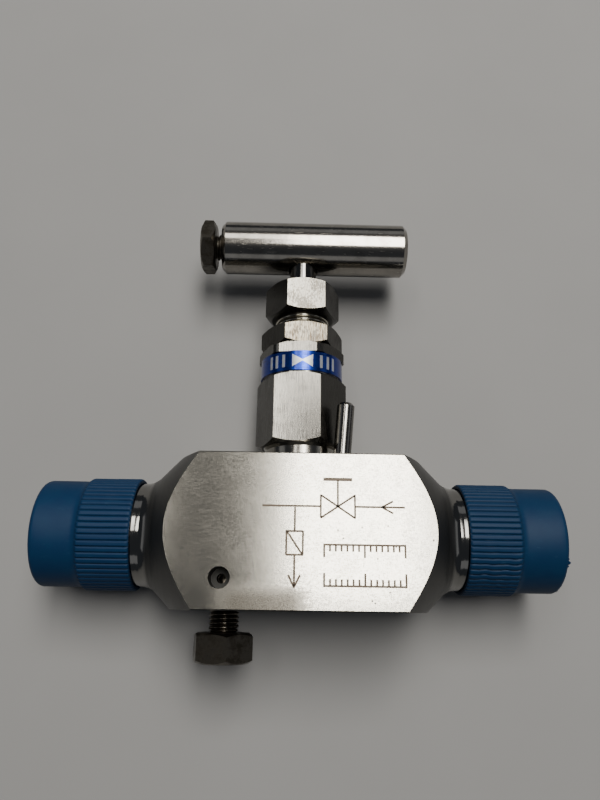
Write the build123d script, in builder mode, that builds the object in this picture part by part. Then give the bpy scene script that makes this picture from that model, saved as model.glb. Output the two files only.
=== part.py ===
"""Inline block-and-bleed instrument valve: a square bar body with turned conical ends, a needle
valve with a T handle on its top edge, a ball-tipped bleed screw on its lower edge, and a push-on
thread protector over each male pipe end.

The valve lies on its back. X runs along the flow, from the outlet at -X to the inlet at +X. Y runs
along the stem, from the bleed screw to the handle. Z is up, out of the front face. The origin is
the middle of the back face. Lengths are in millimetres. Thread flanks are left off: a thread that
shows is modelled at its root, a thread inside another piece at its outside diameter, and the
tapered pipe ends as cylinders at the root of their small ends.
"""

import os
from math import cos, radians, sin, sqrt, tan

from build123d import *

# Clearances
snug = 0.02  # radial, between pieces that are screwed or pressed together
running = 0.05  # radial, between a turning piece and what guides it
closed_gap = 0.05  # between a closed tip and its seat
overrun = 1.0  # how far a cut runs past what it cuts

# Turned edges
fine_edge = 0.4
edge = 0.6
wide_edge = 0.8

# Square bar body with its turned ends
bar_width = 38.1
flat_length = 51.0  # along the bar's corners, between the two cones
cone_angle = 45.0
neck_diameter = 27.0
neck_fillet = 6.35
neck_length = 8.76  # from the cone's foot to the pipe thread's runout
thread_length = 16.0
thread_root = 23.1  # root diameter of the tapered pipe thread at its small end
thread_runout = 3.0
thread_chamfer = 1.2
bar_edge = 0.3

# Flow passages
port_bore = 8.0
port_depth = 32.0
passage = 4.8
drill_point = 59.0  # half of the point angle
chamber_diameter = 11.2
chamber_floor = 6.0
outlet_drill = 4.0
drill_inset = 1.3  # of its start, from the floor of the outlet's port bore
drill_start_y = -1.0
drill_end = (-4.0, 8.75)

# Seat ring
seat_diameter = 9.2
seat_height = 2.4
seat_mouth = 7.0
seat_angle = 30.0  # half of the cone angle

# Bonnet, from the bar's edge outwards
bonnet_thread = 19.05
bonnet_foot_depth = 7.55  # below the bar's edge
gasket_thickness = 1.0
gasket_bore = 11.4
stem_hole = 8.8  # through the bonnet, below the packing
packing_floor_height = 9.45  # above the bar's edge
packing_bore = 14.0
gland_thread = 15.875
gland_thread_floor_height = 20.95  # above the bar's edge
boss_diameter = 21.6
boss_height = 1.0
boss_groove = 1.0
bonnet_neck = 4.95  # from the bar's edge to the hexagon
neck_flare = 0.4
hex_size = 22.225
hex_length = 19.5
hex_face = 0.5  # how much narrower the hexagon's lower face is than its flats
bonnet_turn = -6.9
band_groove = 22.7
band_shoulder = 0.3
band_width = 5.8
collar_diameter = 24.6
collar_height = 3.0
hex_chamfer_angle = 30.0

# Label band
band_thickness = 0.4
band_gap = 0.1  # above and below it, in its groove

# Bonnet lock pin
pin_diameter = 4.76
pin_height = 16.2  # above the bar
pin_depth = 6.5
pin_lean = 5.6  # outward, in degrees
pin_reach = 13.6  # from the stem's axis to the pin's, at the bar
pin_edge = 0.5

# Packing
washer_thickness = 1.5
ring_count = 3
ring_thickness = 3.0
bushing_height = 3.0

# Gland bolt and its lock nut
gland_hex = 19.05
gland_showing = 3.6  # thread between the lock nut and the head
gland_head = 10.3
bolt_face = 1.0  # how much narrower a bolt head's faces are than its flats
gland_root = 14.3  # of its thread, where it shows above the lock nut
gland_guide = 4.6  # length of the plain guide above the stem thread
wiper_diameter = 11.0
wiper_width = 1.6
wiper_top = 1.2  # below the head's upper face
lock_nut_hex = 20.64
lock_nut_height = 6.9
lock_nut_turn = 5.0
nut_faces = (0.6, 1.6)  # how much narrower its lower and upper faces are
gland_turn = 5.4

# Stem and its swivelling tip
stem_diameter = 7.94
stem_shank = 7.8
stem_thread = 9.525
stem_thread_length = 20.0
stem_flat = 0.6  # depth of the flat under the handle bolt
tip_diameter = 6.6
tip_nose = 2.4
tip_collar = 2.2  # length of the tip's plain collar
tip_neck = 3.2
tip_neck_length = 1.2
tip_head = 4.8
tip_head_length = 2.8
lip_length = 0.85
stem_turns = 3.5
stem_pitch = 1.27

# T handle
bar_diameter = 15.875
handle_gap = 6.3625  # from the gland bolt's head to the bar
bar_left = -24.8  # ends, from the stem's axis
bar_right = 31.4
bar_chamfer = 1.2
stem_hole_depth = 5.0  # above the bar's own axis
countersink = 0.8

# Handle bolt
bolt_hex = 14.29
bolt_head = 4.4
bolt_gap = 1.9
bolt_thread = 7.94
bolt_root = 6.6  # of its thread, where it shows outside the bar
bolt_turn = -20.7

# Bleed valve
bleed_x = -19.3
bleed_thread = 7.94
bleed_thread_depth = 5.6
bleed_chamber = 7.2
bleed_seat = 8.8  # below the flow axis
bleed_orifice = 2.4
bleed_seat_mouth = 4.6
ball_diameter = 4.76
bleed_nose = 5.9
bleed_lip = 0.7
bleed_hex = 14.29
bleed_root = 6.6  # of its thread, where it shows below the bar
bleed_showing = 5.55  # from the bar's edge to the head
bleed_head = 7.4
bleed_turn = 18.6
bleed_travel = 2.12  # of the screw, when opened by two turns
thread_relief = 0.2

# Vent port
vent_y = 11.6  # below the flow axis
vent_diameter = 5.2
vent_depth = 7.0
vent_drill = 2.4

# Thread protector caps
cap_overlap = 8.1  # from the start of the pipe thread to the cap's rim
cap_end_gap = 0.3  # inside, past the port face
cap_wall = 0.55
cap_end_wall = 1.1
cap_grip_diameter = 29.4
cap_grip_length = 13.1
cap_shoulder = 1.6
cap_diameter = 27.7
cap_edge = 1.6
rib_count = 60
rib_height = 0.45
rib_width = 0.95

# Worked out from the above
axis_z = bar_width / 2
corner_radius = bar_width / sqrt(2)
top_y = bar_width / 2
middle = Plane.XY.offset(axis_z)
bonnet_foot = top_y - bonnet_foot_depth
packing_floor = top_y + packing_floor_height
gland_thread_floor = top_y + gland_thread_floor_height
hex_bottom = top_y + bonnet_neck
hex_top = hex_bottom + hex_length
band_bottom = hex_top + band_shoulder
band_top = band_bottom + band_width
bonnet_top = band_top + collar_height
nut_top = bonnet_top + lock_nut_height
gland_head_bottom = nut_top + gland_showing
gland_head_top = gland_head_bottom + gland_head
bar_under = gland_head_top + handle_gap
bar_height = bar_under + bar_diameter / 2
bleed_head_top = top_y + bleed_showing
bleed_head_bottom = bleed_head_top + bleed_head
neck_x = flat_length / 2 + (corner_radius - neck_diameter / 2) / tan(radians(cone_angle))
runout_x = neck_x + neck_length
thread_start_x = runout_x + thread_runout
port_face_x = thread_start_x + thread_length
port_floor_x = port_face_x - port_depth
drill_start = (-port_floor_x - drill_inset, drill_start_y)
drill_run = drill_end[0] - drill_start[0]
drill_rise = drill_end[1] - drill_start[1]
orifice_top = drill_start[1] + drill_rise * (bleed_x - drill_start[0]) / drill_run
cap_rim_x = thread_start_x - cap_overlap
cap_end_x = port_face_x + cap_end_gap + cap_end_wall


def axis_plane(x: float = 0.0, down: bool = False) -> Plane:
    """Plane for a profile about a line along Y: local x is the radius, local y the height."""
    return Plane(origin=(x, 0, axis_z), x_dir=(1, 0, 0), z_dir=(0, 0, -1 if down else 1))


def flow_plane(side: int) -> Plane:
    """Plane for a profile about the flow axis: local x is the radius, local y runs out to one end."""
    return Plane(origin=(0, 0, axis_z), x_dir=(0, 1, 0), z_dir=(0, 0, -side))


def turned(plane: Plane, *points: tuple, mode: Mode = Mode.ADD) -> None:
    """Revolves the closed outline through the points about the plane's own y axis."""
    with BuildSketch(plane) as outline:
        with BuildLine():
            Polyline(*points, close=True)
        make_face()
    revolve(outline.sketch, axis=Axis(plane.origin, plane.y_dir), mode=mode)


def tube(plane: Plane, inside: float, outside: float, low: float, high: float) -> None:
    """Adds a ring of two diameters between two heights."""
    turned(plane, (inside / 2, low), (outside / 2, low), (outside / 2, high), (inside / 2, high))


def bore(plane: Plane, diameter: float, low: float, high: float) -> None:
    """Cuts a flat-ended hole between two heights."""
    radius = diameter / 2
    turned(plane, (0, low), (radius, low), (radius, high), (0, high), mode=Mode.SUBTRACT)


def hexagon(plane: Plane, size: float, low: float, high: float, turn: float = 0.0) -> None:
    """Adds a hexagonal prism with a flat towards the front, turned by an angle in degrees."""
    base = Plane(origin=plane.from_local_coords((0, low, 0)), x_dir=plane.x_dir, z_dir=plane.y_dir)
    with BuildSketch(base) as section:
        RegularPolygon(size / 2, 6, major_radius=False, rotation=turn)
    extrude(section.sketch, amount=high - low)


def hex_corner(size: float) -> float:
    """Radius of a hexagon's corners from its size across flats."""
    return size / sqrt(3)


def chamfered(plane: Plane, size: float, low: float, high: float, low_face: float, high_face: float) -> None:
    """Turns both ends of a hexagon down to a round face, at the usual angle of a nut."""
    corner = hex_corner(size) + snug
    slope = tan(radians(hex_chamfer_angle))
    low_drop = (corner - low_face / 2) * slope
    high_drop = (corner - high_face / 2) * slope
    turned(
        plane,
        (0, low),
        (low_face / 2, low),
        (corner, low + low_drop),
        (corner, high - high_drop),
        (high_face / 2, high),
        (0, high),
        mode=Mode.INTERSECT,
    )


def finish_part(part: Part, name: str) -> None:
    """Labels a finished piece and writes its STEP file."""
    part.label = name
    export_step(part, f"parts/{name}.step")


os.makedirs("parts", exist_ok=True)
stem_axis = axis_plane()
bleed_axis = axis_plane(bleed_x, down=True)
seat_slope = tan(radians(seat_angle))
seat_top = chamber_floor
seat_bottom = seat_top - seat_height
gasket_bottom = bonnet_foot - gasket_thickness

# The lock pin stands beside one flat of the bonnet's hexagon and leans away from it
pin_turn = radians(30 - bonnet_turn)
pin_out = Vector(cos(pin_turn), 0, sin(pin_turn))
pin_along = Vector(0, 1, 0) * cos(radians(pin_lean)) + pin_out * sin(radians(pin_lean))
pin_foot = Vector(0, top_y, axis_z) + pin_out * pin_reach
pin_side = pin_out.cross(Vector(0, 1, 0))
pin_plane = Plane(origin=pin_foot, x_dir=pin_side, z_dir=pin_side.cross(pin_along))

# Valve body: the square bar, turned at both ends and drilled
full_radius = corner_radius + overrun
full_x = flat_length / 2 - overrun / tan(radians(cone_angle))
root = thread_root / 2

with BuildPart() as valve_body:
    with BuildSketch(Plane.YZ.offset(-port_face_x)) as bar_section:
        with Locations((0, axis_z)):
            Rectangle(bar_width, bar_width)
        chamfer(bar_section.vertices(), bar_edge)
    extrude(amount=2 * port_face_x)
    with BuildSketch(flow_plane(1)) as end_profile:
        with BuildLine():
            profile = Polyline(
                (0, 0),
                (full_radius, 0),
                (full_radius, full_x),
                (neck_diameter / 2, neck_x),
                (neck_diameter / 2, runout_x),
                (root, thread_start_x),
                (root, port_face_x - thread_chamfer),
                (root - thread_chamfer, port_face_x),
                (0, port_face_x),
                close=True,
            )
        make_face()
        fillet(end_profile.vertices().sort_by_distance((neck_diameter / 2, neck_x))[0], neck_fillet)
    with BuildPart(mode=Mode.PRIVATE) as turned_blank:
        revolve(end_profile.sketch, axis=Axis(middle.origin, (1, 0, 0)))
        mirror(about=Plane.YZ)
    add(turned_blank.part, mode=Mode.INTERSECT)

    # Flow passages from both ends, the first to below the seat and the second to above it
    for side in (-1, 1):
        tip = port_bore / 2 / tan(radians(drill_point))
        turned(
            flow_plane(side),
            (0, port_face_x),
            (port_bore / 2, port_face_x),
            (port_bore / 2, port_floor_x),
            (0, port_floor_x - tip),
            mode=Mode.SUBTRACT,
        )
    bore(flow_plane(1), passage, 0, port_floor_x)
    bore(stem_axis, passage, 0, seat_bottom + overrun)
    with BuildSketch(Plane(origin=(*drill_start, axis_z), z_dir=(drill_run, drill_rise, 0))) as drill_section:
        Circle(outlet_drill / 2)
    extrude(drill_section.sketch, amount=sqrt(drill_run**2 + drill_rise**2), mode=Mode.SUBTRACT)
    # Pocket for the seat ring, chamber round it, and the bonnet's tapped hole
    bore(stem_axis, seat_diameter + 2 * snug, seat_bottom, seat_top + overrun)
    bore(stem_axis, chamber_diameter, chamber_floor, bonnet_foot)
    bore(stem_axis, bonnet_thread + 2 * snug, gasket_bottom, top_y + overrun)
    bore(pin_plane, pin_diameter + 2 * snug, -pin_depth, overrun)
    # Bleed valve: orifice, seat, chamber and tapped hole, and the vent port from the front
    bore(bleed_axis, bleed_orifice, -orifice_top, bleed_seat)
    seat_depth = (bleed_seat_mouth - bleed_orifice) / 2
    turned(
        bleed_axis,
        (0, bleed_seat - seat_depth),
        (bleed_orifice / 2, bleed_seat - seat_depth),
        (bleed_seat_mouth / 2, bleed_seat),
        (0, bleed_seat),
        mode=Mode.SUBTRACT,
    )
    bore(bleed_axis, bleed_chamber, bleed_seat, top_y + overrun)
    bore(bleed_axis, bleed_thread + 2 * snug, top_y - bleed_thread_depth, top_y + overrun)
    with BuildSketch(Plane.XY.offset(bar_width)) as vent_section:
        with Locations((bleed_x, -vent_y)):
            Circle(vent_diameter / 2)
    extrude(vent_section.sketch, amount=-vent_depth, mode=Mode.SUBTRACT)
    with BuildSketch(Plane.XY.offset(bar_width - vent_depth)) as drill_section:
        with Locations((bleed_x, -vent_y)):
            Circle(vent_drill / 2)
    extrude(drill_section.sketch, amount=vent_depth - axis_z, mode=Mode.SUBTRACT)
finish_part(valve_body.part, "valve_body")

# Seat ring, pressed in below the chamber
cone_height = (seat_mouth - passage) / 2 / seat_slope
with BuildPart() as seat_ring:
    turned(
        stem_axis,
        (passage / 2, seat_bottom),
        (seat_diameter / 2, seat_bottom),
        (seat_diameter / 2, seat_top),
        (seat_mouth / 2, seat_top),
        (passage / 2, seat_top - cone_height),
    )
finish_part(seat_ring.part, "seat_ring")

# Swivelling tip that closes on the seat without turning in it
cone_foot = seat_top - cone_height
tip_offset = closed_gap / cos(radians(seat_angle))
tip_shoulder = cone_foot + (tip_diameter / 2 + tip_offset - passage / 2) / seat_slope
nose_end = tip_diameter / 2 - tip_nose * seat_slope
collar_top = tip_shoulder + tip_collar
head_bottom = collar_top + tip_neck_length
with BuildPart() as seat_plug:
    turned(
        stem_axis,
        (0, tip_shoulder - tip_nose),
        (nose_end, tip_shoulder - tip_nose),
        (tip_diameter / 2, tip_shoulder),
        (tip_diameter / 2, collar_top),
        (tip_neck / 2, collar_top),
        (tip_neck / 2, head_bottom),
        (tip_head / 2, head_bottom),
        (tip_head / 2, head_bottom + tip_head_length),
        (0, head_bottom + tip_head_length),
    )
finish_part(seat_plug.part, "seat_plug")

# Stem: a socket for the tip at its foot, a plain part through the packing, its thread, and a
# plain end with a flat for the handle bolt
stem_foot = head_bottom - running - lip_length
thread_top = gland_head_top - gland_guide - stem_turns * stem_pitch - running
thread_bottom = thread_top - stem_thread_length
stem_top = bar_height + stem_hole_depth - running
flat_x = stem_flat - stem_diameter / 2
with BuildPart() as valve_stem:
    turned(
        stem_axis,
        (0, stem_foot),
        (stem_shank / 2 - edge, stem_foot),
        (stem_shank / 2, stem_foot + edge),
        (stem_shank / 2, thread_bottom),
        (stem_thread / 2 - fine_edge, thread_bottom),
        (stem_thread / 2, thread_bottom + fine_edge),
        (stem_thread / 2, thread_top - fine_edge),
        (stem_thread / 2 - fine_edge, thread_top),
        (stem_diameter / 2, thread_top),
        (stem_diameter / 2, stem_top - edge),
        (stem_diameter / 2 - edge, stem_top),
        (0, stem_top),
    )
    bore(stem_axis, tip_neck + 2 * running, stem_foot, head_bottom)
    bore(stem_axis, tip_head + 2 * running, head_bottom - running, head_bottom + tip_head_length + running)
    flat_height = stem_top - bar_height + bolt_thread / 2 + edge
    with BuildSketch(middle) as flat_section:
        with Locations((flat_x - stem_flat, stem_top)):
            Rectangle(2 * stem_flat, 2 * flat_height)
    extrude(flat_section.sketch, amount=stem_diameter, both=True, mode=Mode.SUBTRACT)
finish_part(valve_stem.part, "valve_stem")

# Bonnet: screwed foot, turned neck, hexagon, groove for the label band and a turned collar
neck_radius = boss_diameter / 2 - boss_groove
under_hex = hex_size - hex_face
hex_radius = hex_corner(hex_size) + snug
hex_slope = tan(radians(hex_chamfer_angle))
with BuildPart() as bonnet:
    hexagon(stem_axis, hex_size, hex_bottom, bonnet_top, bonnet_turn)
    turned(
        stem_axis,
        (0, hex_bottom),
        (under_hex / 2, hex_bottom),
        (hex_radius, hex_bottom + (hex_radius - under_hex / 2) * hex_slope),
        (hex_radius, hex_top - (hex_radius - band_groove / 2) * hex_slope),
        (band_groove / 2, hex_top),
        (band_groove / 2, band_top),
        (collar_diameter / 2, band_top),
        (collar_diameter / 2, bonnet_top - edge),
        (collar_diameter / 2 - wide_edge, bonnet_top),
        (0, bonnet_top),
        mode=Mode.INTERSECT,
    )
    tube(stem_axis, stem_hole, band_groove, band_bottom, band_top)
    turned(
        stem_axis,
        (0, bonnet_foot),
        (bonnet_thread / 2 - wide_edge, bonnet_foot),
        (bonnet_thread / 2, bonnet_foot + wide_edge),
        (bonnet_thread / 2, top_y + snug),
        (boss_diameter / 2, top_y + snug),
        (boss_diameter / 2, top_y + boss_height),
        (neck_radius, top_y + boss_height + boss_groove),
        (neck_radius, hex_bottom - wide_edge),
        (under_hex / 2 - neck_flare, hex_bottom),
        (0, hex_bottom),
    )
    bore(stem_axis, stem_hole, bonnet_foot - overrun, packing_floor)
    bore(stem_axis, packing_bore, packing_floor, gland_thread_floor)
    bore(stem_axis, gland_thread + 2 * snug, gland_thread_floor, bonnet_top + overrun)
finish_part(bonnet.part, "bonnet")

with BuildPart() as bonnet_gasket:
    tube(stem_axis, gasket_bore, bonnet_thread - 2 * running, gasket_bottom, bonnet_foot)
finish_part(bonnet_gasket.part, "bonnet_gasket")

with BuildPart() as label_band:
    band_outside = band_groove + 2 * band_thickness
    tube(stem_axis, band_groove, band_outside, band_bottom + band_gap, band_top - band_gap)
finish_part(label_band.part, "label_band")

with BuildPart() as bonnet_lock_pin:
    turned(
        pin_plane,
        (0, -pin_depth),
        (pin_diameter / 2 - pin_edge, -pin_depth),
        (pin_diameter / 2, pin_edge - pin_depth),
        (pin_diameter / 2, pin_height - wide_edge),
        (pin_diameter / 2 - wide_edge, pin_height),
        (0, pin_height),
    )
finish_part(bonnet_lock_pin.part, "bonnet_lock_pin")

# Packing, from its floor up: washer, rings and the bushing that the gland bolt presses on
packing_outside = packing_bore - 2 * snug
packing_inside = stem_shank + 2 * running
ring_bottom = packing_floor + washer_thickness
bushing_bottom = ring_bottom + ring_count * ring_thickness
bushing_top = bushing_bottom + bushing_height
with BuildPart() as packing_washer:
    tube(stem_axis, packing_inside, packing_outside, packing_floor, ring_bottom)
finish_part(packing_washer.part, "packing_washer")
for ring in range(ring_count):
    with BuildPart() as packing_ring:
        low = ring_bottom + ring * ring_thickness
        tube(stem_axis, packing_inside, packing_outside, low, low + ring_thickness)
    finish_part(packing_ring.part, f"packing_ring_{ring + 1}")
with BuildPart() as packing_bushing:
    tube(stem_axis, packing_inside, packing_outside, bushing_bottom, bushing_top)
finish_part(packing_bushing.part, "packing_bushing")

# Gland bolt: presses on the bushing and carries the stem's thread, with a wiper at its top
with BuildPart() as gland_bolt:
    hexagon(stem_axis, gland_hex, gland_head_bottom, gland_head_top, gland_turn)
    head_face = gland_hex - bolt_face
    chamfered(stem_axis, gland_hex, gland_head_bottom, gland_head_top, head_face, head_face)
    turned(
        stem_axis,
        (0, bushing_top),
        (gland_thread / 2 - edge, bushing_top),
        (gland_thread / 2, bushing_top + edge),
        (gland_thread / 2, nut_top - fine_edge),
        (gland_root / 2, nut_top - fine_edge),
        (gland_root / 2, gland_head_bottom),
        (0, gland_head_bottom),
    )
    bore(stem_axis, stem_thread + 2 * running, bushing_top, gland_head_top - gland_guide)
    bore(stem_axis, stem_diameter + 2 * running, bushing_top, gland_head_top)
    bore(stem_axis, wiper_diameter, gland_head_top - wiper_top - wiper_width, gland_head_top - wiper_top)
finish_part(gland_bolt.part, "gland_bolt")

with BuildPart() as stem_wiper:
    wiper_low = gland_head_top - wiper_top - wiper_width + snug
    wiper_high = gland_head_top - wiper_top - snug
    tube(stem_axis, stem_diameter + 2 * running, wiper_diameter - 2 * snug, wiper_low, wiper_high)
finish_part(stem_wiper.part, "stem_wiper")

with BuildPart() as lock_nut:
    hexagon(stem_axis, lock_nut_hex, bonnet_top, nut_top, lock_nut_turn)
    nut_low, nut_high = (lock_nut_hex - narrower for narrower in nut_faces)
    chamfered(stem_axis, lock_nut_hex, bonnet_top, nut_top, nut_low, nut_high)
    bore(stem_axis, gland_thread + 2 * snug, bonnet_top, nut_top)
finish_part(lock_nut.part, "lock_nut")

# T handle: a round bar with a blind cross hole for the stem and a tapped hole for its bolt
bar_plane = Plane(origin=(0, bar_height, axis_z), x_dir=(0, 1, 0), z_dir=(0, 0, -1))
hole_end = bar_height + stem_hole_depth
with BuildPart() as handle_bar:
    turned(
        bar_plane,
        (0, bar_left),
        (bar_diameter / 2 - bar_chamfer, bar_left),
        (bar_diameter / 2, bar_left + bar_chamfer),
        (bar_diameter / 2, bar_right - bar_chamfer),
        (bar_diameter / 2 - bar_chamfer, bar_right),
        (0, bar_right),
    )
    bore(stem_axis, stem_diameter + 2 * snug, bar_under - overrun, hole_end)
    turned(
        stem_axis,
        (0, bar_under - overrun),
        (stem_diameter / 2 + countersink + overrun, bar_under - overrun),
        (0, bar_under + stem_diameter / 2 + countersink),
        mode=Mode.SUBTRACT,
    )
    bore(bar_plane, bolt_thread + 2 * snug, bar_left, 0)
finish_part(handle_bar.part, "handle_bar")

# Handle bolt, screwed in along the bar until it clamps the flat on the stem
bolt_base = bar_left - bolt_gap
with BuildPart() as handle_bolt:
    hexagon(bar_plane, bolt_hex, bolt_base - bolt_head, bolt_base, bolt_turn)
    head_face = bolt_hex - bolt_face
    chamfered(bar_plane, bolt_hex, bolt_base - bolt_head, bolt_base, head_face, head_face)
    turned(
        bar_plane,
        (0, bolt_base),
        (bolt_root / 2, bolt_base),
        (bolt_root / 2, bar_left + fine_edge),
        (bolt_thread / 2, bar_left + fine_edge),
        (bolt_thread / 2, flat_x - snug - edge),
        (bolt_thread / 2 - edge, flat_x - snug),
        (0, flat_x - snug),
    )
finish_part(handle_bolt.part, "handle_bolt")

# Bleed screw, and the ball held in its nose by a turned-in lip
ball_radius = ball_diameter / 2
ball_centre = bleed_seat - bleed_seat_mouth / 2 + (ball_radius + closed_gap) * sqrt(2)
with BuildPart() as bleed_ball:
    with Locations((bleed_x, -ball_centre, axis_z)):
        Sphere(ball_radius)
finish_part(bleed_ball.part, "bleed_ball")

thread_start = top_y - bleed_thread_depth + thread_relief
thread_end = top_y - bleed_travel - fine_edge
with BuildPart() as bleed_screw:
    hexagon(bleed_axis, bleed_hex, bleed_head_top, bleed_head_bottom, bleed_turn)
    head_face = bleed_hex - bolt_face
    chamfered(bleed_axis, bleed_hex, bleed_head_top, bleed_head_bottom, head_face, head_face)
    turned(
        bleed_axis,
        (0, ball_centre - bleed_lip),
        (bleed_nose / 2, ball_centre - bleed_lip),
        (bleed_nose / 2, thread_start),
        (bleed_thread / 2 - fine_edge, thread_start),
        (bleed_thread / 2, thread_start + fine_edge),
        (bleed_thread / 2, thread_end),
        (bleed_root / 2, thread_end + fine_edge),
        (bleed_root / 2, bleed_head_top),
        (0, bleed_head_top),
    )
    with Locations((bleed_x, -ball_centre, axis_z)):
        Sphere(ball_radius + running, mode=Mode.SUBTRACT)
finish_part(bleed_screw.part, "bleed_screw")

# Thread protector caps, pushed over the necks at both ends
grip = cap_grip_diameter / 2
grip_end = cap_rim_x + cap_grip_length
smooth = cap_diameter / 2
for side, name in ((1, "inlet_cap"), (-1, "outlet_cap")):
    cap_plane = flow_plane(side)
    with BuildPart() as cap:
        turned(
            cap_plane,
            (0, cap_rim_x),
            (grip - rib_height, cap_rim_x),
            (grip - rib_height, grip_end),
            (smooth, grip_end + cap_shoulder),
            (smooth, cap_end_x - cap_edge),
            (smooth - cap_edge * 0.3, cap_end_x - cap_edge * 0.3),
            (smooth - cap_edge, cap_end_x),
            (0, cap_end_x),
        )
        rib_base = cap_plane.from_local_coords((0, cap_rim_x, 0))
        with BuildSketch(Plane(origin=rib_base, x_dir=(0, 1, 0), z_dir=(side, 0, 0))) as rib_section:
            with PolarLocations(grip - rib_height, rib_count):
                Rectangle(2 * rib_height, rib_width)
        extrude(rib_section.sketch, amount=cap_grip_length)
        turned(
            cap_plane,
            (0, cap_rim_x),
            (neck_diameter / 2 + snug, cap_rim_x),
            (neck_diameter / 2 + snug, grip_end),
            (smooth - cap_wall, grip_end + cap_shoulder),
            (smooth - cap_wall, cap_end_x - cap_end_wall),
            (0, cap_end_x - cap_end_wall),
            mode=Mode.SUBTRACT,
        )
    finish_part(cap.part, name)
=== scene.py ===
"""Looks for an inline block-and-bleed instrument valve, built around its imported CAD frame.

The valve lies on its back. X runs along the flow, Y along the stem towards the T handle, and Z up
out of the front face. Sizes in this file are millimetres unless a name says otherwise; meshes are
turned into metres when they are made.
"""

import logging
from dataclasses import dataclass
from enum import Enum
from math import pi, radians
from typing import Callable, ClassVar

import bpy
import numpy as np
from mathutils import Matrix, Vector

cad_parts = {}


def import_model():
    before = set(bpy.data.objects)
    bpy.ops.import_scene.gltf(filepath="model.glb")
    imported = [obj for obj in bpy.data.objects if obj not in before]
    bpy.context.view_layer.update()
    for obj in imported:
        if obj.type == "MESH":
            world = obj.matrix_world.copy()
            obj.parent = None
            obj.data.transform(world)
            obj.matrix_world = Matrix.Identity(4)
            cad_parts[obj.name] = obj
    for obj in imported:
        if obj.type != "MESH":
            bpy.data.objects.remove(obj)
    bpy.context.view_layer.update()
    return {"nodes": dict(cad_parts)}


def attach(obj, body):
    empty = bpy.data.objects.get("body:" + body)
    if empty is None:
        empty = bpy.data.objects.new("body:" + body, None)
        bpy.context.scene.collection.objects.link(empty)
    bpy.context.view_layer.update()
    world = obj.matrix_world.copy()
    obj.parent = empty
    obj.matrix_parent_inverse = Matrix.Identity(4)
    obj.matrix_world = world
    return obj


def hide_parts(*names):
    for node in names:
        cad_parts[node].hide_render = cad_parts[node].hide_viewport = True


log = logging.getLogger("valve")
MM = 0.001
AXIS_Z = 19.05  # height of the flow axis above the back face

Colour = tuple[float, float, float]
Array = np.ndarray


# ---------------------------------------------------------------- shader sums


class Sum:
    """A socket of a node tree, with Python's operators standing for Math nodes."""

    def __init__(self, paint: "Paint", socket: bpy.types.NodeSocket) -> None:
        """Holds the tree's owner and the socket."""
        self.paint = paint
        self.socket = socket

    def __add__(self, other: "Sum | float") -> "Sum":
        """self + other."""
        return self.paint.math("ADD", self, other)

    __radd__ = __add__

    def __sub__(self, other: "Sum | float") -> "Sum":
        """self - other."""
        return self.paint.math("SUBTRACT", self, other)

    def __rsub__(self, other: float) -> "Sum":
        """other - self."""
        return self.paint.math("SUBTRACT", other, self)

    def __mul__(self, other: "Sum | float") -> "Sum":
        """self * other."""
        return self.paint.math("MULTIPLY", self, other)

    __rmul__ = __mul__

    def __truediv__(self, other: "Sum | float") -> "Sum":
        """self / other."""
        return self.paint.math("DIVIDE", self, other)


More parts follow.
